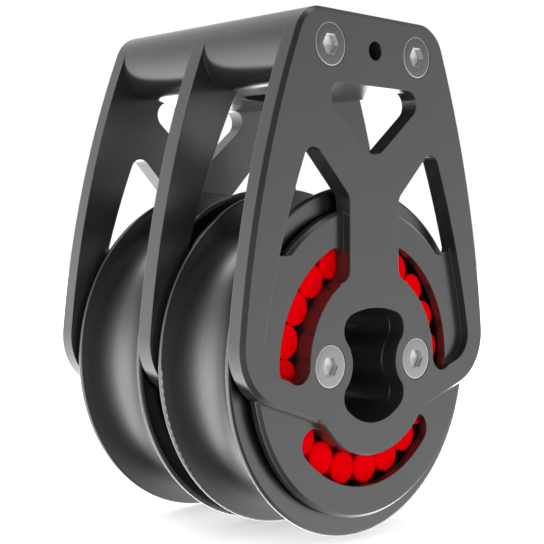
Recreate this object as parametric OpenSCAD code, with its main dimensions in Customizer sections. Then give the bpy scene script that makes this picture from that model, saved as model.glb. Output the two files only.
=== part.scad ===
// Double sailing block: two roller-bearing sheaves side by side in one machined frame.
// X runs across the block, -Y is its front, +Z is up; the origin is on the sheave axis, mid-width.

/* [Sheaves] */
// Diameter of each sheave over its flanges
sheave_d = 80; // [76:0.5:82]
// Width of each sheave over its two rims
sheave_w = 23.4; // [22.4:0.1:23.8]
// Thickness of the rounded rim at the top of each flange
rim_t = 1.6; // [1.2:0.1:2.2]
// Wall of metal between the bearing bore and the bottom of the rope groove
groove_wall = 3.32; // [2.4:0.02:4.4]

/* [Bearings] */
// Radius of the fixed hub that the rollers run on
race_r = 20.6; // [19.6:0.1:21.2]
// Diameter of one bearing roller
roller_d = 7.6; // [7.2:0.05:7.6]
// Rollers in each bearing
roller_count = 20; // [16:1:20]
// Radial running clearance on each side of a roller
roller_play = 0.04; // [0.02:0.01:0.08]
// End clearance between a roller and the cheeks
roller_end_play = 0.25; // [0.15:0.05:0.6]
// Turn of the first roller from straight up, towards the front
roller_phase = 4.5; // [0:0.5:17.5]
// Edge chamfer of a roller
roller_chamfer = 0.3; // [0.1:0.05:0.6]
// Radial width of the thrust rings that guide a sheave sideways
thrust_ring_w = 3.6; // [2.6:0.1:4.2]
// Wall left between the bearing bore and a thrust ring
thrust_ring_wall = 1.3; // [1:0.1:2]
// Depth of the seat of a thrust ring in the side of its sheave
thrust_seat_depth = 2.2; // [1.6:0.1:3]
// Clearance between a thrust ring and its cheek
thrust_play = 0.25; // [0.15:0.05:0.5]
// Radial clearance of a thrust ring in its seat
thrust_slide = 0.05; // [0.02:0.01:0.1]

/* [Cheeks] */
// Thickness of the two outer cheeks
cheek_t = 4.3; // [3.8:0.1:6]
// Thickness of the centre cheek
centre_t = 4.14; // [3.6:0.1:6]
// Thickness of the thin bearing plate inside the cheek frame
plate_t = 2.2; // [1.8:0.1:3]
// Clear width between two cheeks
bay_w = 25.32; // [24.8:0.02:28]
// Width by which a sheave rim shows outside the round bearing plate
rim_reveal = 4.7; // [4:0.1:6]
// Radius of the raised boss around the hub passage
boss_r = 21; // [20.4:0.1:22]
// Half width of the frame at the lower corners
frame_half_w = 41.1; // [39:0.1:44]
// Radius of the lower corners
low_corner_r = 13; // [10:0.5:15]
// Height of the centre of the lower corners above the axis
low_corner_z = 5; // [2:0.5:8]
// Half width of the frame at the top
top_half_w = 25.2; // [24:0.1:28]
// Radius of the long convex flanks
flank_r = 235; // [180:5:400]
// Slope of the lower edges, in degrees
skirt_slope = 18.4; // [12:0.1:24]
// Fillet between a lower edge and the boss
skirt_fillet_r = 4; // [2:0.5:7]
// Width of the band between the outer edge and the pocket at the lower corners
band_w = 6.3; // [5:0.1:8]
// Radius of the inner edge of the legs
leg_inner_r = 200; // [150:5:400]
// Width of the neck between boss and arms
neck_w = 16.6; // [14:0.1:20]
// Fillet where the neck meets the boss
neck_fillet_r = 3; // [2:0.5:4]
// Bend radius between the neck and an arm
arm_bend_r = 3.5; // [2:0.5:6]
// Height at which the lower edges of the arms would meet
arm_line_z = 28.95; // [27:0.05:31]
// Distance of the top corner of a side window from the middle
window_corner_y = 20; // [19:0.1:21]
// Radius of the top corner of a side window
window_corner_r = 3; // [2:0.5:4]
// Height of the lower edge of a side window beside the leg
window_floor_z = 24.2; // [22:0.1:27]
// Radius of the lower corner of a side window beside the leg
window_floor_r = 1.6; // [1:0.1:2.4]
// Half distance between the top corners of the upper window
top_window_y = 11.5; // [9:0.1:12.5]
// Radius of the top corners of the upper window
top_window_r = 3.1; // [2:0.1:4]
// Radius of the lower corner of the upper window
top_window_tip_r = 4.5; // [3:0.1:6]
// Wall between the tip of the upper window and the line where the arms meet
arm_wall = 17.95; // [16:0.05:20]

// Radius of the top corners of the wide window in the centre cheek
centre_window_r = 2.5; // [1.5:0.1:4]
// Chamfer round the outer face of the outer cheeks
edge_chamfer = 0.9; // [0.4:0.1:1.2]
// Chamfer of the round bearing plate
plate_chamfer = 0.7; // [0.3:0.1:1]
// Small chamfer round the boss
boss_chamfer = 0.4; // [0.2:0.1:0.8]

/* [Slots] */
// Radial width of the curved slots that show the rollers
slot_w = 7.28; // [5:0.02:7.4]
// Angle from straight up to the upper end of a side slot
slot_side_from = 26; // [20:1:34]
// Angle from straight up to the lower end of a side slot
slot_side_to = 89.3; // [80:0.1:92]
// Half angle of the bottom slot
slot_bottom_half = 46; // [36:1:52]

/* [Hub passage] */
// Radius of the lower end of the passage
passage_low_r = 13.6; // [12:0.1:14.5]
// Radius of the flatter upper end of the passage
passage_top_r = 25; // [20:1:35]
// Height of the top of the passage above the axis
passage_top_z = 12.4; // [11.4:0.1:13.4]
// Radius of the four corners of the passage
passage_corner_r = 3.95; // [3:0.05:5]
// Half width of the passage at its corners
passage_half_w = 10.25; // [9.4:0.05:11]
// Wall of metal around the hub screws that narrows the passage
waist_r = 7.3; // [6.6:0.1:8]

/* [Head] */
// Gap for the rope between sheave and head
rope_gap = 22.2; // [16:0.1:30]
// Radius of the rounded front and back of the head, half its height
head_r = 8; // [7:0.1:10]
// Diameter of the vertical bore in the middle of the head
head_bore_d = 16; // [10:0.5:18]
// Diameter of the cross pin hole through the head
pin_hole_d = 4.36; // [3.2:0.02:6]

/* [Screws] */
// Thread diameter of the countersunk screws
screw_d = 5; // [4:1:6]
// Head diameter of the countersunk screws
screw_head_d = 9.9; // [8:0.1:11]
// Length of the screws over all
screw_l = 16; // [12:1:20]
// Distance of the screws from the middle plane
screw_y = 14.7; // [14:0.1:15.2]
// Radial clearance of a screw shank in its holes
screw_play = 0.15; // [0.1:0.05:0.4]
// Width across the flats of the hexagon socket
socket_af = 3; // [2.5:0.5:4]
// Depth of the hexagon socket
socket_depth = 1.9; // [1.2:0.1:2.4]

/* [Hidden] */
$fn = 96;
// Corners up to this radius are drawn as whole circles
long_arc_r = 13.2;
// Corner circles stand this much proud of their tangents, so that outlines cross cleanly
corner_lap = 0.003;
// Length by which a long arc runs on past its ends
run_on = 0.4;
// Length by which neighbouring chamfer cuts overlap
chamfer_lap = 0.3;
sheave_r = sheave_d / 2;
roller_r = roller_d / 2;
pitch_r = race_r + roller_play + roller_r;
bearing_bore_r = race_r + 2 * roller_play + roller_d;
groove_floor_r = bearing_bore_r + groove_wall;
bay_x = centre_t / 2 + bay_w / 2;
inner_x = centre_t / 2 + bay_w;
outer_x = inner_x + cheek_t;
plate_r = sheave_r - rim_reveal;
head_floor_z = sheave_r + rope_gap;
head_z = head_floor_z + head_r;
head_y = top_half_w - head_r;
screw_r = screw_d / 2;
screw_cone = (screw_head_d - screw_d) / 2;
thrust_in_r = bearing_bore_r + thrust_ring_wall;

// Outlines. A list of circles [y, z, radius] is followed by an outline, anticlockwise. A positive
// radius is an outer corner, a negative one an inner corner; common tangents join the neighbours.

function unit(a) = [cos(a), sin(a)];
function at(c) = [c[0], c[1]];
function ratio(a) = max(-1, min(1, a));
function tangent_angle(a, b) =
  atan2(b[1] - a[1], b[0] - a[0]) - acos(ratio((a[2] - b[2]) / norm(at(b) - at(a))));
function next_of(path, i) = path[(i + 1) % len(path)];
function last_of(path, i) = path[(i + len(path) - 1) % len(path)];
function angle_in(path, i) = tangent_angle(last_of(path, i), path[i]);
function angle_out(path, i) = tangent_angle(path[i], next_of(path, i));
// Turn of the outline along one corner, between -180 and 180 degrees
function wrap(a) = a > 180 ? wrap(a - 360) : a <= -180 ? wrap(a + 360) : a;
function corner_turn(path, i) = wrap(angle_out(path, i) - angle_in(path, i));
function start_point(path, i) = at(path[i]) + path[i][2] * unit(angle_in(path, i));
function end_point(path, i) = at(path[i]) + path[i][2] * unit(angle_out(path, i));

// Where two circles round a and b meet, on the left of the line from a to b
function meet(a, ra, b, rb) =
  let (gap = norm(b - a), along = (ra * ra - rb * rb + gap * gap) / (2 * gap))
  let (side = sqrt(ra * ra - along * along), dir = (b - a) / gap)
  a + along * dir + side * [-dir[1], dir[0]];

// A round corner; a long arc is kept to the strip beyond its chord, run on a little past both ends
module corner_piece(path, i) {
  r = abs(path[i][2]);
  turn = abs(corner_turn(path, i));
  out = unit(angle_in(path, i) + corner_turn(path, i) / 2);
  along = [-out[1], out[0]];
  half = r * sin(turn / 2) + run_on;
  rise = r * (1 - cos(turn / 2));
  if (r <= long_arc_r)
    translate(at(path[i])) circle(r = r + corner_lap);
  else
    intersection() {
      translate(at(path[i])) circle(r = r, $fn = 360);
      translate(at(path[i]) + (r - rise) * out)
        polygon([-rise * out - half * along, 2 * rise * out - half * along,
                 2 * rise * out + half * along, -rise * out + half * along]);
    }
}

module outline(path) {
  difference() {
    union() {
      polygon([for (i = [0:len(path) - 1]) each [start_point(path, i), end_point(path, i)]]);
      for (i = [0:len(path) - 1]) if (path[i][2] > 0) corner_piece(path, i);
    }
    for (i = [0:len(path) - 1]) if (path[i][2] < 0) corner_piece(path, i);
  }
}

// Cutter for a 45 degree chamfer on one round corner of an outline that is raised to the height top
module corner_chamfer(path, i, size, top) {
  r = path[i][2];
  facets = abs(r) > long_arc_r ? 360 : 96;
  reach = min(80, abs(corner_turn(path, i)) / 2 + chamfer_lap / abs(r) * 180 / PI);
  out = sign(r) * unit(angle_in(path, i) + corner_turn(path, i) / 2);
  along = [-out[1], out[0]];
  translate([path[i][0], path[i][1], top - size - 1])
    intersection() {
      if (r > 0)
        difference() {
          cylinder(r = r + 2, h = size + 2, $fn = facets);
          translate([0, 0, -1])
            cylinder(r1 = r + 2, r2 = r - size - 1, h = size + 3, $fn = facets);
        }
      else
        cylinder(r1 = -r - 1, r2 = size + 1 - r, h = size + 2, $fn = facets);
      linear_extrude(size + 2)
        polygon((abs(r) + 5) * [[0, 0], out - tan(reach) * along, out + tan(reach) * along]);
    }
}

// Cutter for the same chamfer on the straight edge after that corner
module edge_chamfer_cut(path, i, size, top) {
  p = end_point(path, i);
  q = start_point(path, (i + 1) % len(path));
  dir = (q - p) / norm(q - p);
  translate(concat(p - chamfer_lap * dir, 0))
    rotate([0, 0, atan2(dir[1], dir[0])])
      rotate([90, 0, 90])
        linear_extrude(norm(q - p) + 2 * chamfer_lap)
          polygon([[-1, top - size - 1], [size + 1, top + 1], [-1, top + 1]]);
}

// Lays a shape drawn in the YZ plane and raised along Z out along +X, starting at x
module along_x(x) {
  translate([x, 0, 0]) rotate([90, 0, 90]) children();
}

module round_x(r, x_from, x_to, y = 0, z = 0) {
  along_x(x_from) translate([y, z, 0]) cylinder(r = r, h = x_to - x_from);
}

// Cheek outlines

low_y = frame_half_w - low_corner_r;
flank_c = meet([low_y, low_corner_z], flank_r - low_corner_r, [head_y, head_z], flank_r - head_r);
skirt_normal = skirt_slope - 90;
skirt_c = [low_y, low_corner_z] * unit(skirt_normal) + low_corner_r;
// The fillet lies a fillet radius below the lower edge and outside the boss
fillet_off = skirt_c + skirt_fillet_r;
fillet_along = sqrt(pow(boss_r + skirt_fillet_r, 2) - fillet_off * fillet_off);
fillet_c = fillet_off * unit(skirt_normal) + fillet_along * unit(skirt_slope);

frame_path = [
  [0, 0, boss_r],
  [fillet_c[0], fillet_c[1], -skirt_fillet_r],
  [low_y, low_corner_z, low_corner_r],
  [flank_c[0], flank_c[1], flank_r],
  [head_y, head_z, head_r],
  [-head_y, head_z, head_r],
  [-flank_c[0], flank_c[1], flank_r],
  [-low_y, low_corner_z, low_corner_r],
  [-fillet_c[0], fillet_c[1], -skirt_fillet_r]
];

pocket_r = low_corner_r - band_w;
window_corner_z = window_corner_y + arm_line_z - sqrt(2) * window_corner_r;
leg_c = meet([low_y, low_corner_z], leg_inner_r - pocket_r,
             [window_corner_y, window_corner_z], leg_inner_r - window_corner_r);
bend_y = neck_w / 2 + arm_bend_r;
bend_z = bend_y + arm_line_z - sqrt(2) * arm_bend_r;
band_off = skirt_c - band_w;
pocket_path = [
  [neck_w / 2, (band_off - neck_w / 2 * cos(skirt_normal)) / sin(skirt_normal), 0],
  [low_y, low_corner_z, pocket_r],
  [leg_c[0], leg_c[1], leg_inner_r],
  [window_corner_y, window_corner_z, window_corner_r],
  [bend_y, bend_z, arm_bend_r]
];

neck_fillet_y = neck_w / 2 + neck_fillet_r;
neck_fillet_z = sqrt(pow(boss_r + neck_fillet_r, 2) - neck_fillet_y * neck_fillet_y);

// Everything inside one leg: the pocket and, above the bearing plate, the side window
module side_void() {
  difference() {
    outline(pocket_path);
    circle(r = boss_r);
    difference() {
      polygon([[0, 0], [neck_fillet_y, 0], [neck_fillet_y, neck_fillet_z], [0, neck_fillet_z]]);
      translate([neck_fillet_y, neck_fillet_z]) circle(r = neck_fillet_r + corner_lap);
    }
  }
}

module both_sides() {
  children();
  mirror([1, 0]) children();
}

top_window_path = [
  [0, arm_line_z + arm_wall + top_window_tip_r, top_window_tip_r],
  [top_window_y, head_floor_z - top_window_r, top_window_r],
  [-top_window_y, head_floor_z - top_window_r, top_window_r]
];

// The centre cheek has one wide window between its legs, from the bearing plate to the head
centre_corner_z = head_floor_z - centre_window_r;
centre_corner_y = leg_c[0]
  + sqrt(pow(leg_inner_r - centre_window_r, 2) - pow(centre_corner_z - leg_c[1], 2));
centre_window_path = [
  [low_y, low_corner_z, pocket_r],
  [leg_c[0], leg_c[1], leg_inner_r],
  [centre_corner_y, centre_corner_z, centre_window_r],
  [-centre_corner_y, centre_corner_z, centre_window_r],
  [-leg_c[0], leg_c[1], leg_inner_r],
  [-low_y, low_corner_z, pocket_r]
];

floor_half_w = frame_half_w - 2 / 3 * band_w;
floor_corner_z = window_floor_z + window_floor_r;
floor_corner_y = leg_c[0] + sqrt(pow(leg_inner_r - window_floor_r, 2) - pow(floor_corner_z - leg_c[1], 2));

// Round plate that covers the bearing, widened to the legs below the side windows
module plate_outline() {
  circle(r = plate_r);
  intersection() {
    outline(frame_path);
    translate([-floor_half_w, 0]) square([2 * floor_half_w, window_floor_z]);
  }
  both_sides()
    difference() {
      translate([floor_corner_y, window_floor_z - 1])
        square([floor_half_w - floor_corner_y, window_floor_r + 1]);
      translate([floor_corner_y, floor_corner_z]) circle(r = window_floor_r + corner_lap);
    }
}

slot_r = boss_r + slot_w / 2;

// Curved slot about the axis; angles run from straight up towards +Y
module slot(from, to) {
  intersection() {
    difference() {
      circle(r = boss_r + slot_w);
      circle(r = boss_r - 0.5);
    }
    polygon([
      [0, 0],
      for (s = [0:4]) 2 * plate_r * [sin(from + s * (to - from) / 4), cos(from + s * (to - from) / 4)]
    ]);
  }
  for (a = [from, to]) translate(slot_r * [sin(a), cos(a)]) circle(r = slot_w / 2 + corner_lap);
}

module slots() {
  both_sides() slot(slot_side_from, slot_side_to);
  slot(180 - slot_bottom_half, 180 + slot_bottom_half);
}

corner_y = passage_half_w - passage_corner_r;
corner_low_z = -sqrt(pow(passage_low_r - passage_corner_r, 2) - corner_y * corner_y);
passage_top_c = passage_top_z - passage_top_r;
corner_top_z = passage_top_c + sqrt(pow(passage_top_r - passage_corner_r, 2) - corner_y * corner_y);
passage_path = [
  [0, 0, passage_low_r],
  [corner_y, corner_low_z, passage_corner_r],
  [screw_y, 0, -waist_r],
  [corner_y, corner_top_z, passage_corner_r],
  [0, passage_top_c, passage_top_r],
  [-corner_y, corner_top_z, passage_corner_r],
  [-screw_y, 0, -waist_r],
  [-corner_y, corner_low_z, passage_corner_r]
];

// The waisted passage for a lashing, right through the hub
module passage(x_from, x_to) {
  along_x(x_from) linear_extrude(x_to - x_from) outline(passage_path);
}

// One cheek, lying on its inner face; the frame stands frame_t high and the bearing plate low_t.
// The children are the outlines of its windows.
module cheek_body(frame_t, low_t) {
  linear_extrude(frame_t)
    difference() {
      outline(frame_path);
      children();
      intersection() {
        slots();
        translate([-plate_r, -plate_r]) square([2 * plate_r, plate_r + slot_w / 2]);
      }
    }
  difference() {
    linear_extrude(low_t)
      difference() {
        plate_outline();
        slots();
      }
    if (low_t < frame_t) plate_rim_cut(low_t);
  }
}

// Chamfer of the bearing plate, below the band and between the side windows
module plate_rim_cut(top) {
  translate([0, 0, top - plate_chamfer - 1])
    intersection() {
      difference() {
        cylinder(r = plate_r + 2, h = plate_chamfer + 2);
        translate([0, 0, -1])
          cylinder(r1 = plate_r + 2, r2 = plate_r - plate_chamfer - 1, h = plate_chamfer + 3);
      }
      linear_extrude(plate_chamfer + 2) {
        translate([-plate_r - 3, -plate_r - 3]) square([2 * plate_r + 6, plate_r]);
        translate([-plate_r, window_floor_z + 0.1]) square([2 * plate_r, plate_r]);
      }
    }
}

module outer_cheek() {
  difference() {
    along_x(inner_x)
      cheek_body(cheek_t, plate_t) {
        both_sides() side_void();
        outline(top_window_path);
      }
    along_x(inner_x) {
      for (i = [2:7]) corner_chamfer(frame_path, i, edge_chamfer, cheek_t);
      for (i = [0, 1, 8]) corner_chamfer(frame_path, i, boss_chamfer, cheek_t);
      for (i = [1, 4, 7]) edge_chamfer_cut(frame_path, i, edge_chamfer, cheek_t);
    }
    passage(inner_x - 1, outer_x + 1);
    round_x(pin_hole_d / 2, inner_x - 1, outer_x + 1, 0, head_z);
    for (y = [-screw_y, screw_y], z = [0, head_z]) screw_hole(y, z);
  }
}

module screw_hole(y, z) {
  round_x(screw_r + screw_play, inner_x - 1, outer_x + 1, y, z);
  along_x(outer_x - screw_cone)
    translate([y, z, 0])
      cylinder(r1 = screw_r, r2 = screw_head_d / 2, h = screw_cone);
}

module right_cheek() {
  color("#5c5e60") outer_cheek();
}

module left_cheek() {
  color("#5c5e60") mirror([1, 0, 0]) outer_cheek();
}

screw_depth = screw_l - cheek_t + 2;

module centre_frame() {
  color("#55575a")
  difference() {
    union() {
      along_x(-centre_t / 2) cheek_body(centre_t, centre_t) outline(centre_window_path);
      along_x(-inner_x) linear_extrude(2 * inner_x) head_outline();
      round_x(race_r, -inner_x, inner_x);
    }
    passage(-inner_x - 1, inner_x + 1);
    translate([0, 0, head_floor_z - 1]) cylinder(d = head_bore_d, h = 2 * head_r + 2);
    round_x(pin_hole_d / 2, -inner_x - 1, inner_x + 1, 0, head_z);
    for (side = [0, 1], y = [-screw_y, screw_y], z = [0, head_z])
      mirror([side, 0, 0]) round_x(screw_r + screw_play / 3, inner_x - screw_depth, inner_x + 1, y, z);
  }
}

module head_outline() {
  outline([[head_y, head_z, head_r], [-head_y, head_z, head_r]]);
}

// Sheaves and bearings, modelled round the middle of the right bay

groove_half_w = sheave_w / 2 - rim_t;
groove_depth = sheave_r - rim_t / 2 - groove_floor_r;
groove_r = (groove_half_w * groove_half_w + groove_depth * groove_depth) / (2 * groove_depth);

thrust_seat_x = sheave_w / 2 - thrust_seat_depth;

module sheave() {
  color("#4e5053")
  translate([bay_x, 0, 0])
  rotate([0, 90, 0])
  rotate_extrude()
  difference() {
    union() {
      translate([bearing_bore_r, -sheave_w / 2])
        square([sheave_r - rim_t / 2 - bearing_bore_r, sheave_w]);
      for (side = [-1, 1])
        translate([sheave_r - rim_t / 2, side * (sheave_w - rim_t) / 2]) circle(d = rim_t);
    }
    translate([groove_floor_r + groove_r, 0]) circle(r = groove_r);
    for (side = [-1, 1])
      translate([thrust_in_r, side < 0 ? -sheave_w / 2 - 1 : thrust_seat_x])
        square([thrust_ring_w, thrust_seat_depth + 1]);
  }
}

module right_sheave() {
  sheave();
}

module left_sheave() {
  mirror([1, 0, 0]) sheave();
}

module thrust_ring(side) {
  color("#d9d7cf")
  translate([bay_x, 0, 0])
  mirror([side < 0 ? 1 : 0, 0, 0])
  rotate([0, 90, 0])
  rotate_extrude()
  translate([thrust_in_r + thrust_slide, thrust_seat_x])
  square([thrust_ring_w - 2 * thrust_slide, bay_w / 2 - thrust_play - thrust_seat_x]);
}

module roller(k) {
  half_l = bay_w / 2 - roller_end_play;
  turn = roller_phase + (k - 1) * 360 / roller_count;
  color("#e8000d")
  translate([bay_x, -pitch_r * sin(turn), pitch_r * cos(turn)])
  rotate([0, 90, 0])
  rotate_extrude($fn = 48)
  polygon([
    [0, -half_l], [roller_r - roller_chamfer, -half_l], [roller_r, -half_l + roller_chamfer],
    [roller_r, half_l - roller_chamfer], [roller_r - roller_chamfer, half_l], [0, half_l]
  ]);
}

// Countersunk screw with a hexagon socket, driven in along -X on the right cheek
module screw(y, z) {
  color("#c9cacc")
  along_x(outer_x)
  translate([y, z, 0])
  difference() {
    rotate_extrude($fn = 48)
      polygon([
        [0, 0], [screw_head_d / 2, 0], [screw_r, -screw_cone],
        [screw_r, -screw_l + 0.5], [screw_r - 0.5, -screw_l], [0, -screw_l]
      ]);
    translate([0, 0, -socket_depth]) cylinder(d = socket_af / cos(30), h = socket_depth + 1, $fn = 6);
  }
}

centre_frame();
right_cheek();
left_cheek();
right_sheave();
left_sheave();
thrust_ring(1);  // right_outer_thrust_ring
thrust_ring(-1);  // right_inner_thrust_ring
mirror([1, 0, 0]) thrust_ring(1);  // left_outer_thrust_ring
mirror([1, 0, 0]) thrust_ring(-1);  // left_inner_thrust_ring
screw(-screw_y, head_z);  // right_head_screw_front
screw(screw_y, head_z);  // right_head_screw_back
screw(-screw_y, 0);  // right_hub_screw_front
screw(screw_y, 0);  // right_hub_screw_back
mirror([1, 0, 0]) screw(-screw_y, head_z);  // left_head_screw_front
mirror([1, 0, 0]) screw(screw_y, head_z);  // left_head_screw_back
mirror([1, 0, 0]) screw(-screw_y, 0);  // left_hub_screw_front
mirror([1, 0, 0]) screw(screw_y, 0);  // left_hub_screw_back
for (k = [1:roller_count]) {
  roller(k);
  mirror([1, 0, 0]) roller(k);
}
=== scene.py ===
"""Dresses a packed double sailing block in its real finishes, on a pale studio floor."""

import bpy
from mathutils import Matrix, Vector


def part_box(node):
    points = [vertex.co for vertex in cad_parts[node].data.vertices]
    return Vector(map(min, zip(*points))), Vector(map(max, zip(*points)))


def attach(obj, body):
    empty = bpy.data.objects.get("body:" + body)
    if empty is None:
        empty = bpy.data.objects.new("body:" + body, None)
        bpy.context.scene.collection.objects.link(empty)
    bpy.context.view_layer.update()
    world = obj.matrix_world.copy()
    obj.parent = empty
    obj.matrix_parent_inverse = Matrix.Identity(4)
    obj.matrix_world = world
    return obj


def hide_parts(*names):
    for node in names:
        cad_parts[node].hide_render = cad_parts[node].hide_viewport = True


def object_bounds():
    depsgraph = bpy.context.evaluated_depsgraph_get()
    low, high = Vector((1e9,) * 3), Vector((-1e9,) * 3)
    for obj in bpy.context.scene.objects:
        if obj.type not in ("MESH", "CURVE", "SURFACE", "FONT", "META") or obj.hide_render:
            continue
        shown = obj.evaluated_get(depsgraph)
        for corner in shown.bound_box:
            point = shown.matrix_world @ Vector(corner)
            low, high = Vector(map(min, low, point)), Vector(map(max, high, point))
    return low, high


bl_info = {
    "name": "Double Sailing Block",
    "version": (1, 0, 0),
    "blender": (4, 5, 0),
    "location": "View3D > Sidebar > Sailing Block",
    "description": "Finishes a double block: eased metal edges, countersunk screws and its materials",
    "category": "Object",
}

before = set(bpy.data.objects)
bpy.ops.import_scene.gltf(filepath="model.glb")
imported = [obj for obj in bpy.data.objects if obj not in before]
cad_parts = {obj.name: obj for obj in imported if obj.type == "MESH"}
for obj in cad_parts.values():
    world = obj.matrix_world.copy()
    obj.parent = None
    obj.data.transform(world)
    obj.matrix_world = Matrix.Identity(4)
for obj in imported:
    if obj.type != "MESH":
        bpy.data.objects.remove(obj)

import math

import bpy

CAD_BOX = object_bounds()

METAL_NODES = ("centre_frame", "right_cheek", "left_cheek")
SIDES = {"right": 1, "left": -1}
SCREW_PLACES = ("head_screw_front", "head_screw_back", "hub_screw_front", "hub_screw_back")
# Corners closer than this are one corner
WELD = 0.000004
BOSS_CHAMFER = 0.0004
SCREW_TIP = 0.0005

FILL_LIGHT = 0.6
# Soft boxes and dark flags of the studio: direction, the range of its share in a ray's direction, and
# the brightness at both ends of the range. Level directions stand for tall walls.
STUDIO_LIGHT = (
    ((0.96, -0.28, 0.0), (0.5, 1.0), (1.0, 0.15)),
    ((-0.15, -0.99, 0.0), (0.82, 1.0), (1.0, 2.3)),
    ((-1.0, 0.0, 0.0), (0.6, 1.0), (0.95, 2.8)),
    ((0.0, 0.0, 1.0), (-0.3, 0.65), (1.22, 0.35)),
    ((0.0, 0.0, 1.0), (0.82, 0.97), (1.0, 5.0)),
    ((0.0, 0.0, -1.0), (0.86, 1.0), (1.0, 0.3)),
    ((-0.45, 0.84, -0.3), (0.72, 0.95), (1.0, 3.2)),
)


def linear(hex_colour):
    """An sRGB hex colour as linear red, green and blue."""
    parts = [int(hex_colour[i:i + 2], 16) / 255 for i in (1, 3, 5)]
    return [p / 12.92 if p <= 0.04045 else ((p + 0.055) / 1.055) ** 2.4 for p in parts]


class BlockSizes(bpy.types.PropertyGroup):
    """Sizes of the finishing pieces, which the frame's own sizes don't give."""

    boss_radius: bpy.props.FloatProperty(
        name="Boss radius", description="Radius of the raised boss round the hub passage",
        default=0.021, min=0.0204, max=0.022, unit="LENGTH")
    slot_width: bpy.props.FloatProperty(
        name="Slot width", description="Width of the curved slots that show the rollers",
        default=0.00728, min=0.005, max=0.0074, unit="LENGTH")
    slot_turn: bpy.props.FloatProperty(
        name="Slot end", description="Angle from straight up to the lower end of a side slot",
        default=math.radians(89.3), min=math.radians(80), max=math.radians(92), unit="ROTATION")
    edge_break: bpy.props.FloatProperty(
        name="Edge break", description="Width of the eased edges of the machined frame",
        default=0.00022, min=0.00005, max=0.0004, unit="LENGTH")
    head_edge: bpy.props.FloatProperty(
        name="Screw head edge", description="Rounding of the rim of a screw head",
        default=0.00042, min=0.0001, max=0.0006, unit="LENGTH")
    socket_width: bpy.props.FloatProperty(
        name="Socket width", description="Width of a screw's hexagon socket across its flats",
        default=0.0039, min=0.0025, max=0.0042, unit="LENGTH")
    socket_depth: bpy.props.FloatProperty(
        name="Socket depth", description="Depth of the straight walls of a screw's hexagon socket",
        default=0.0007, min=0.0004, max=0.0016, unit="LENGTH")
    shank_width: bpy.props.FloatProperty(
        name="Shank diameter", description="Diameter of a screw's shank",
        default=0.005, min=0.004, max=0.006, unit="LENGTH")
    turning_pitch: bpy.props.FloatProperty(
        name="Turning pitch", description="Spacing of the fine rings that the lathe left on the sheaves",
        default=0.00035, min=0.0001, max=0.001, unit="LENGTH")
    floor_width: bpy.props.FloatProperty(
        name="Floor width", description="Width of the studio floor",
        default=6.0, min=1.0, max=20.0, unit="LENGTH")


class BlockColours(bpy.types.PropertyGroup):
    """Colours of the finishes."""

    frame_metal: bpy.props.FloatVectorProperty(
        name="Frame", description="Anodised aluminium of cheeks, hubs and head",
        subtype="COLOR", default=linear("#626262"), min=0, max=1)
    sheave_metal: bpy.props.FloatVectorProperty(
        name="Sheaves", description="Anodised and polished aluminium of the sheaves",
        subtype="COLOR", default=linear("#6C6C6C"), min=0, max=1)
    roller_plastic: bpy.props.FloatVectorProperty(
        name="Rollers", description="Red acetal of the rollers",
        subtype="COLOR", default=linear("#F0000A"), min=0, max=1)
    ring_plastic: bpy.props.FloatVectorProperty(
        name="Thrust rings", description="Natural acetal of the thrust rings",
        subtype="COLOR", default=linear("#D9D7CE"), min=0, max=1)
    # Painted light: the hub and head screws are one stainless steel; the hub screws' lighter grey is painted
    # reflection and the head screws' darker grey is painted shade
    hub_steel_painted_lighter: bpy.props.FloatVectorProperty(
        name="Hub screws", description="Stainless steel of the four hub screws",
        subtype="COLOR", default=linear("#A0A0A0"), min=0, max=1)
    head_steel_painted_darker: bpy.props.FloatVectorProperty(
        name="Head screws", description="Darker stainless steel of the four head screws",
        subtype="COLOR", default=linear("#747474"), min=0, max=1)
    # Painted highlight: a paler copy of the screw steel for the sockets and the rims of the heads, which paints
    # their glints
    painted_glint_steel: bpy.props.FloatVectorProperty(
        name="Sockets", description="Bare steel of the broached sockets and the rims of the heads",
        subtype="COLOR", default=linear("#F0F0F0"), min=0, max=1)
    floor_paint: bpy.props.FloatVectorProperty(
        name="Floor", description="Pale matt floor",
        subtype="COLOR", default=linear("#F6F6F6"), min=0, max=1)


def add_node(tree, kind, settings=None, **links):
    """Adds a node, sets its properties and inputs, and links the inputs named in links."""
    made = tree.nodes.new(kind)
    for name, value in (settings or {}).items():
        if name in made.inputs:
            made.inputs[name].default_value = value
        else:
            setattr(made, name, value)
    for name, source in links.items():
        key = int(name[1:]) if name[1:].isdigit() else name.replace("_", " ")
        tree.links.new(source, made.inputs[key])
    return made


def new_material(name, **settings):
    """A material with one Principled shader; returns it with its tree and shader."""
    material = bpy.data.materials.new(name)
    material.use_nodes = True
    tree = material.node_tree
    shader = tree.nodes["Principled BSDF"]
    for key, value in settings.items():
        shader.inputs[key.replace("_", " ")].default_value = value
    return material, tree, shader


def rgba(colour, factor=1.0):
    return [c * factor for c in colour] + [1.0]


def radius_from_axis(tree, coordinates):
    """Distance of a point from the sheave axis, which is the X axis."""
    apart = add_node(tree, "ShaderNodeSeparateXYZ", Vector=coordinates)
    flat = add_node(tree, "ShaderNodeCombineXYZ", Y=apart.outputs["Y"], Z=apart.outputs["Z"])
    length = add_node(tree, "ShaderNodeVectorMath", {"operation": "LENGTH"}, i0=flat.outputs[0])
    return length.outputs["Value"], apart.outputs["X"]


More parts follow.
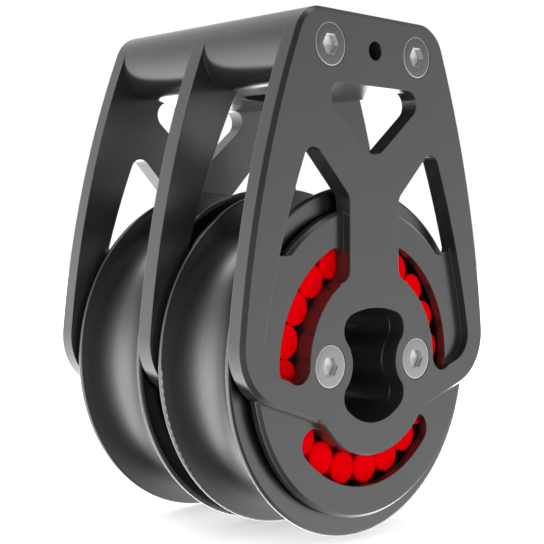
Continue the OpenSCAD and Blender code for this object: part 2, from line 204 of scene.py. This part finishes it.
def anodised_aluminium(colour, edge_break):
    """Milled aluminium, blasted and hard anodised: a dark metal with a soft, even sheen."""
    material, tree, shader = new_material(
        "hard anodised milled aluminium", Metallic=0.88, Roughness=0.24)
    place = add_node(tree, "ShaderNodeTexCoord").outputs["Object"]
    # Slow cloudiness of the anodic layer, over about 25 mm, which keeps the greys from being one flat tone
    cloud = add_node(tree, "ShaderNodeTexNoise", {"Scale": 40.0, "Detail": 3.0}, Vector=place)
    tone = add_node(tree, "ShaderNodeMix", {"data_type": "RGBA"}, Factor=cloud.outputs["Fac"])
    tone.inputs[6].default_value = rgba(colour, 0.93)
    tone.inputs[7].default_value = rgba(colour, 1.07)
    tree.links.new(tone.outputs[2], shader.inputs["Base Color"])
    # Blasted grain, 0.25 mm across: finer grit can't show, so it is drawn this coarse
    grain = add_node(tree, "ShaderNodeTexNoise", {"Scale": 4000.0, "Detail": 2.0}, Vector=place)
    sheen = add_node(tree, "ShaderNodeMapRange", {"To Min": 0.19, "To Max": 0.31},
                     Value=cloud.outputs["Fac"])
    tree.links.new(sheen.outputs["Result"], shader.inputs["Roughness"])
    # Deburred edges, rounded by a fifth of a millimetre, catch a thin line of light
    eased = add_node(tree, "ShaderNodeBevel", {"samples": 6, "Radius": edge_break})
    bump = add_node(tree, "ShaderNodeBump", {"Strength": 0.12, "Distance": 0.00002},
                    Height=grain.outputs["Fac"], Normal=eased.outputs["Normal"])
    tree.links.new(bump.outputs["Normal"], shader.inputs["Normal"])
    return material


def turned_aluminium(colour, pitch):
    """Lathe-turned, anodised aluminium: fine rings round the axis draw the highlight out across the groove."""
    material, tree, shader = new_material(
        "anodised turned aluminium", Metallic=1.0, Roughness=0.3)
    place = add_node(tree, "ShaderNodeTexCoord").outputs["Object"]
    radius, along = radius_from_axis(tree, place)
    # The tool moves along the profile, so the rings count both outwards and across the groove
    path = add_node(tree, "ShaderNodeMath", {"operation": "ADD"}, i0=radius, i1=along)
    ring_at = add_node(tree, "ShaderNodeCombineXYZ", X=path.outputs[0])
    rings = add_node(tree, "ShaderNodeTexNoise", {"Scale": 1.0 / pitch, "Detail": 2.0},
                     Vector=ring_at.outputs[0])
    bump = add_node(tree, "ShaderNodeBump", {"Strength": 0.25, "Distance": 0.00002},
                    Height=rings.outputs["Fac"])
    tree.links.new(bump.outputs["Normal"], shader.inputs["Normal"])
    tone = add_node(tree, "ShaderNodeMix", {"data_type": "RGBA"}, Factor=rings.outputs["Fac"])
    tone.inputs[6].default_value = rgba(colour, 0.9)
    tone.inputs[7].default_value = rgba(colour, 1.1)
    tree.links.new(tone.outputs[2], shader.inputs["Base Color"])
    return material


def turned_plastic(name, colour, roughness, specular):
    """Acetal rod turned to size: a waxy plastic, bright under the surface, with faint turning marks."""
    material, tree, shader = new_material(
        name, Roughness=roughness, IOR=1.48, Subsurface_Weight=0.08, Subsurface_Scale=0.0015,
        Specular_IOR_Level=specular)
    shader.inputs["Subsurface Radius"].default_value = (1.0, 0.3, 0.25)
    place = add_node(tree, "ShaderNodeTexCoord").outputs["Object"]
    along = add_node(tree, "ShaderNodeSeparateXYZ", Vector=place)
    ring_at = add_node(tree, "ShaderNodeCombineXYZ", X=along.outputs["X"])
    # Turning marks 0.3 mm apart along each roller, as coarse as a close view needs
    rings = add_node(tree, "ShaderNodeTexNoise", {"Scale": 3300.0, "Detail": 1.0},
                     Vector=ring_at.outputs[0])
    bump = add_node(tree, "ShaderNodeBump", {"Strength": 0.15, "Distance": 0.00002},
                    Height=rings.outputs["Fac"])
    tree.links.new(bump.outputs["Normal"], shader.inputs["Normal"])
    mottle = add_node(tree, "ShaderNodeTexNoise", {"Scale": 150.0, "Detail": 2.0}, Vector=place)
    tone = add_node(tree, "ShaderNodeMix", {"data_type": "RGBA"}, Factor=mottle.outputs["Fac"])
    tone.inputs[6].default_value = rgba(colour, 0.92)
    tone.inputs[7].default_value = rgba(colour, 1.0)
    tree.links.new(tone.outputs[2], shader.inputs["Base Color"])
    return material


def stainless_steel(name, colour, roughness=0.19):
    """Stainless steel: the cold-headed faces are tumbled to an uneven sheen; a paler, softer copy paints glints
    into the sockets and onto the head rims.
    """
    material, tree, shader = new_material(name, Base_Color=rgba(colour), Metallic=1.0)
    place = add_node(tree, "ShaderNodeTexCoord").outputs["Object"]
    # Tumbling leaves patches about 1 mm across
    patch = add_node(tree, "ShaderNodeTexNoise", {"Scale": 900.0, "Detail": 3.0}, Vector=place)
    sheen = add_node(tree, "ShaderNodeMapRange", {
        "To Min": roughness - 0.07, "To Max": roughness + 0.07}, Value=patch.outputs["Fac"])
    tree.links.new(sheen.outputs["Result"], shader.inputs["Roughness"])
    bump = add_node(tree, "ShaderNodeBump", {"Strength": 0.08, "Distance": 0.00002},
                    Height=patch.outputs["Fac"])
    tree.links.new(bump.outputs["Normal"], shader.inputs["Normal"])
    return material


def studio_brightness(tree, way):
    """Brightness of the studio walls in one direction, the product of the shapes in STUDIO_LIGHT."""
    strength = None
    level = add_node(tree, "ShaderNodeVectorMath", {"operation": "MULTIPLY"}, i0=way)
    level.inputs[1].default_value = (1, 1, 0)
    wall = add_node(tree, "ShaderNodeVectorMath", {"operation": "NORMALIZE"}, i0=level.outputs[0])
    for axis, share, brightness in STUDIO_LIGHT:
        facing = add_node(tree, "ShaderNodeVectorMath", {"operation": "DOT_PRODUCT"},
                          i0=way if axis[2] else wall.outputs[0])
        facing.inputs[1].default_value = axis
        part = add_node(tree, "ShaderNodeMapRange", {
            "interpolation_type": "SMOOTHSTEP", "From Min": share[0], "From Max": share[1],
            "To Min": brightness[0], "To Max": brightness[1]}, Value=facing.outputs["Value"])
        if strength is None:
            strength = part.outputs["Result"]
        else:
            strength = add_node(tree, "ShaderNodeMath", {"operation": "MULTIPLY"},
                                i0=strength, i1=part.outputs["Result"]).outputs[0]
    return strength


def matt_floor(colour):
    """Matt studio paint: pale, with no reflection of its own; in the metal it shows a painted reflection of the
    walls.
    """
    material, tree, shader = new_material("matt floor paint", Roughness=0.9, Emission_Strength=0.5)
    place = add_node(tree, "ShaderNodeTexCoord").outputs["Object"]
    speck = add_node(tree, "ShaderNodeTexNoise", {"Scale": 30.0}, Vector=place)
    tone = add_node(tree, "ShaderNodeMix", {"data_type": "RGBA"}, Factor=speck.outputs["Fac"])
    tone.inputs[6].default_value = rgba(colour, 0.99)
    tone.inputs[7].default_value = rgba(colour)
    tree.links.new(tone.outputs[2], shader.inputs["Base Color"])
    # Painted reflection: for glossy rays the flat floor glows as bright as the studio walls in that direction, so
    # in a reflection the walls run on below the horizon
    back = add_node(tree, "ShaderNodeNewGeometry").outputs["Incoming"]
    way = add_node(tree, "ShaderNodeVectorMath", {"operation": "SCALE", "Scale": -1.0}, i0=back)
    painted_wall_reflection = add_node(tree, "ShaderNodeEmission", Strength=studio_brightness(tree, way.outputs[0]))
    mirrored = add_node(tree, "ShaderNodeLightPath").outputs["Is Glossy Ray"]
    seen = add_node(tree, "ShaderNodeMixShader", i0=mirrored, i1=shader.outputs[0], i2=painted_wall_reflection.outputs[0])
    tree.links.new(seen.outputs[0], tree.nodes["Material Output"].inputs["Surface"])
    return material


def studio_world():
    """White studio walls: brightest on the left, dim round the camera, softer overhead."""
    world = bpy.data.worlds.new("studio")
    world.use_nodes = True
    tree = world.node_tree
    light = tree.nodes["Background"]
    light.inputs["Color"].default_value = (1, 1, 1, 1)
    way = add_node(tree, "ShaderNodeTexCoord").outputs["Generated"]
    # The fill light only brightens matt surfaces, and the wall behind the object stays white
    ray = add_node(tree, "ShaderNodeLightPath").outputs
    filled = add_node(tree, "ShaderNodeMath", {"operation": "MULTIPLY_ADD"},
                      i0=ray["Is Diffuse Ray"], i2=studio_brightness(tree, way))
    filled.inputs[1].default_value = FILL_LIGHT
    shown = add_node(tree, "ShaderNodeMix", {"data_type": "FLOAT"}, i0=ray["Is Camera Ray"],
                     i2=filled.outputs[0])
    shown.inputs[3].default_value = 1.0
    tree.links.new(shown.outputs[0], light.inputs["Strength"])
    return world


def give(piece, *materials):
    """Gives a piece its materials, in the order of its faces' material numbers."""
    piece.data.materials.clear()
    for material in materials:
        piece.data.materials.append(material)


def only(piece):
    """Makes one object the only selected one, and the active one."""
    bpy.ops.object.select_all(action="DESELECT")
    piece.select_set(True)
    bpy.context.view_layer.objects.active = piece


def apply_modifier(piece, kind, **settings):
    only(piece)
    modifier = piece.modifiers.new(kind.title(), kind)
    for name, value in settings.items():
        setattr(modifier, name, value)
    bpy.ops.object.modifier_apply(modifier=modifier.name)


def solid_box(low, high):
    """A box between two corners, its place in its mesh."""
    bpy.ops.object.select_all(action="DESELECT")
    bpy.ops.mesh.primitive_cube_add(
        size=1, location=[(a + b) / 2 for a, b in zip(low, high)], scale=[b - a for a, b in zip(low, high)])
    bpy.ops.object.transform_apply(location=True, rotation=True, scale=True)
    return bpy.context.object


def turned_shape(corners, radius, face, steps, centre=(0, 0)):
    """A solid round a line along X: a disc drawn back step by step, each (depth, new radius)."""
    bpy.ops.object.select_all(action="DESELECT")
    bpy.ops.mesh.primitive_circle_add(vertices=corners, radius=radius, fill_type="NGON",
                                      location=(face,) + tuple(centre), rotation=(0, math.pi / 2, 0))
    bpy.ops.object.transform_apply(location=True, rotation=True, scale=True)
    bpy.ops.object.mode_set(mode="EDIT")
    bpy.ops.mesh.select_all(action="SELECT")
    for depth, width in steps:
        bpy.ops.mesh.extrude_region_move(TRANSFORM_OT_translate={"value": (-depth, 0, 0)})
        bpy.ops.transform.resize(value=(1, width / radius, width / radius))
        radius = width
    bpy.ops.mesh.select_all(action="SELECT")
    bpy.ops.mesh.normals_make_consistent(inside=False)
    bpy.ops.object.mode_set(mode="OBJECT")
    return bpy.context.object


def combine(piece, operation, other):
    """Joins, cuts or trims a solid with another one, which is used up."""
    apply_modifier(piece, "BOOLEAN", operation=operation, object=other, solver="EXACT")
    bpy.data.objects.remove(other)


def closed_copy(node, name):
    """A copy of a CAD node with its loose triangles joined to a closed mesh."""
    only(node)
    bpy.ops.object.duplicate()
    piece = bpy.context.object
    piece.name = name
    bpy.ops.object.mode_set(mode="EDIT")
    bpy.ops.mesh.select_all(action="SELECT")
    bpy.ops.mesh.remove_doubles(threshold=WELD)
    bpy.ops.mesh.customdata_custom_splitnormals_clear()
    bpy.ops.object.mode_set(mode="OBJECT")
    return piece


def shift_mesh(piece, offset):
    only(piece)
    piece.location = offset
    bpy.ops.object.transform_apply(location=True, rotation=True, scale=True)


class OBJECT_OT_block_metalwork(bpy.types.Operator):
    """Gives the frame its anodised finish, and the boss of each cheek full metal round the slot ends"""

    bl_idname = "object.block_metalwork"
    bl_label = "Anodised metalwork"

    def slot_lands(self, sizes, low, high):
        """Solids that carry the boss wall out to the round slot ends of the right cheek."""
        boss_r, slot_r = sizes.boss_radius, sizes.slot_width / 2
        end_y = (boss_r + slot_r) * math.sin(sizes.slot_turn)
        end_z = (boss_r + slot_r) * math.cos(sizes.slot_turn)
        thick = high[0] - low[0]
        root_y, root_z = boss_r - 0.0012, -0.006
        lands = []
        for way in (-1, 1):
            across = sorted((way * root_y, way * end_y))
            land = solid_box((low[0], across[0], root_z), (high[0], across[1], end_z))
            wall = turned_shape(256, boss_r, high[0], ((thick, boss_r),))
            across = sorted((way * root_y, way * (boss_r + 0.001)))
            combine(wall, "INTERSECT", solid_box((low[0] - 0.001, across[0], root_z),
                                                 (high[0] + 0.001, across[1], slot_r + 0.00005)))
            combine(land, "UNION", wall)
            combine(land, "DIFFERENCE", turned_shape(
                128, slot_r + 0.000003, high[0] + 0.001, ((thick + 0.002, slot_r + 0.000003),),
                (way * end_y, end_z)))
            lands.append(land)
        rim = turned_shape(256, boss_r - BOSS_CHAMFER, high[0],
                           ((BOSS_CHAMFER, boss_r), (thick - BOSS_CHAMFER, boss_r)))
        combine(rim, "INTERSECT", solid_box((low[0] - 0.001, -boss_r, -boss_r - 0.001),
                                            (high[0] + 0.001, boss_r, -0.0145)))
        return lands + [rim]

    def execute(self, context):
        sizes = context.scene.block_sizes
        metal = anodised_aluminium(context.scene.block_colours.frame_metal, sizes.edge_break)
        give(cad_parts["centre_frame"], metal)
        low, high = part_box("right_cheek")
        for side, sign in SIDES.items():
            name = side + "_cheek"
            piece = closed_copy(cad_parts[name], name + "_metal")
            for land in self.slot_lands(sizes, low, high):
                if sign < 0:
                    only(land)
                    land.rotation_euler = (0, 0, math.pi)
                    bpy.ops.object.transform_apply(location=True, rotation=True, scale=True)
                combine(piece, "UNION", land)
            only(piece)
            bpy.ops.object.shade_smooth_by_angle(angle=math.radians(30))
            apply_modifier(piece, "WEIGHTED_NORMAL", weight=100, keep_sharp=True)
            give(piece, metal)
            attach(piece, "frame")
            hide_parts(name)
        return {"FINISHED"}


class OBJECT_OT_block_screws(bpy.types.Operator):
    """Models one countersunk socket screw and puts a copy in each of its eight places"""

    bl_idname = "object.block_screws"
    bl_label = "Screws"

    def execute(self, context):
        sizes = context.scene.block_sizes
        low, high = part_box("right_hub_screw_front")
        length = high[0] - low[0]
        head_r = (high[1] - low[1]) / 2
        shank_r = sizes.shank_width / 2
        colours = context.scene.block_colours
        # One steel in two copies: painted lighter for the hub screws, painted darker for the head screws
        steels = {
            "hub": stainless_steel("stainless steel painted lighter", colours.hub_steel_painted_lighter),
            "head": stainless_steel("stainless steel painted darker", colours.head_steel_painted_darker),
        }
        bright = stainless_steel("steel with painted glints", colours.painted_glint_steel, 0.35)
        # The screw is modelled round the X axis, its head face at x = 0
        screw = turned_shape(48, head_r, 0.0, (
            (head_r - shank_r, shank_r),
            (length - (head_r - shank_r) - SCREW_TIP, shank_r),
            (SCREW_TIP, shank_r - SCREW_TIP)))
        screw.name = "screw_pattern"
        apply_modifier(screw, "BEVEL", width=sizes.head_edge, segments=3, limit_method="ANGLE",
                       angle_limit=math.radians(80))
        # The socket opens with a small chamfer and ends in the cone that its drill left
        socket_r = sizes.socket_width / 2 / math.cos(math.pi / 6)
        combine(screw, "DIFFERENCE", turned_shape(6, socket_r + 0.0005, 0.0002, (
            (0.0005, socket_r), (sizes.socket_depth, socket_r), (0.0006, 0.0003))))
        only(screw)
        bpy.ops.object.shade_smooth_by_angle(angle=math.radians(30))
        give(screw, steels["hub"], bright)
        # Painted highlight: the socket faces and the rounded rim of the head take the paler steel as painted
        # glints
        for face in screw.data.polygons:
            out = math.hypot(face.center.y, face.center.z)
            in_socket = out < socket_r + 0.0003 and -0.003 < face.center.x < -0.00001
            on_rim = out > head_r - sizes.head_edge and face.center.x > -sizes.head_edge
            face.material_index = 1 if in_socket or on_rim else 0
        for side, sign in SIDES.items():
            for place in SCREW_PLACES:
                name = side + "_" + place
                low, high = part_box(name)
                only(screw)
                bpy.ops.object.duplicate()
                piece = context.object
                piece.name = name + "_steel"
                if sign < 0:
                    piece.rotation_euler = (0, 0, math.pi)
                face_x = high[0] if sign > 0 else low[0]
                shift_mesh(piece, (face_x, (low[1] + high[1]) / 2, (low[2] + high[2]) / 2))
                piece.data.materials[0] = steels[place.split("_")[0]]
                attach(piece, "frame")
                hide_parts(name)
        bpy.data.objects.remove(screw)
        return {"FINISHED"}


class OBJECT_OT_block_finishes(bpy.types.Operator):
    """Gives the sheaves, rollers and thrust rings their turned metal and plastic finishes"""

    bl_idname = "object.block_finishes"
    bl_label = "Sheave, roller and ring finishes"

    def execute(self, context):
        colours = context.scene.block_colours
        finishes = {
            "sheave": turned_aluminium(colours.sheave_metal, context.scene.block_sizes.turning_pitch),
            "roller": turned_plastic("turned red acetal", colours.roller_plastic, 0.45, 0.0),
            "ring": turned_plastic("turned natural acetal", colours.ring_plastic, 0.4, 0.3),
        }
        for name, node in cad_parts.items():
            for part, material in finishes.items():
                if name.endswith(part) or name.split("_")[1] == part:
                    give(node, material)
        return {"FINISHED"}


class OBJECT_OT_block_stage(bpy.types.Operator):
    """Sets the pale floor, the soft studio light and the camera"""

    bl_idname = "object.block_stage"
    bl_label = "Stage"

    def execute(self, context):
        scene = context.scene
        low = CAD_BOX[0]
        bpy.ops.object.select_all(action="DESELECT")
        bpy.ops.mesh.primitive_plane_add(
            size=scene.block_sizes.floor_width, location=(0, 0, low[2] - 0.0002))
        floor = context.object
        floor.name = "floor"
        give(floor, matt_floor(scene.block_colours.floor_paint))
        scene.world = studio_world()
        camera_data = bpy.data.cameras.new("photo_camera")
        camera_data.lens = 84.3
        camera_data.sensor_width = 36.0
        camera_data.clip_start = 0.01
        camera = bpy.data.objects.new("photo_camera", camera_data)
        camera.location = (0.22062, -0.21818, 0.0265)
        camera.rotation_euler = (math.radians(90 - 1.206), 0, math.radians(45.506))
        scene.collection.objects.link(camera)
        scene.camera = camera
        scene.view_settings.view_transform = "Standard"
        return {"FINISHED"}


class VIEW3D_PT_sailing_block(bpy.types.Panel):
    """Lists the steps that dress the block, with their sizes and colours"""

    bl_label = "Sailing Block"
    bl_space_type = "VIEW_3D"
    bl_region_type = "UI"
    bl_category = "Sailing Block"

    def draw(self, context):
        layout = self.layout
        for step in STEPS:
            layout.operator(step.bl_idname)
        for group in (context.scene.block_sizes, context.scene.block_colours):
            for name in group.__annotations__:
                layout.prop(group, name)


STEPS = (
    OBJECT_OT_block_metalwork,
    OBJECT_OT_block_screws,
    OBJECT_OT_block_finishes,
    OBJECT_OT_block_stage,
)
CLASSES = (BlockSizes, BlockColours) + STEPS + (VIEW3D_PT_sailing_block,)


def register():
    for cls in CLASSES:
        bpy.utils.register_class(cls)
    bpy.types.Scene.block_sizes = bpy.props.PointerProperty(type=BlockSizes)
    bpy.types.Scene.block_colours = bpy.props.PointerProperty(type=BlockColours)


def unregister():
    del bpy.types.Scene.block_colours
    del bpy.types.Scene.block_sizes
    for cls in reversed(CLASSES):
        bpy.utils.unregister_class(cls)


def main():
    register()
    bpy.ops.object.select_all(action="DESELECT")
    bpy.ops.object.block_metalwork()
    bpy.ops.object.block_screws()
    bpy.ops.object.block_finishes()
    bpy.ops.object.block_stage()


if __name__ == "__main__":
    main()
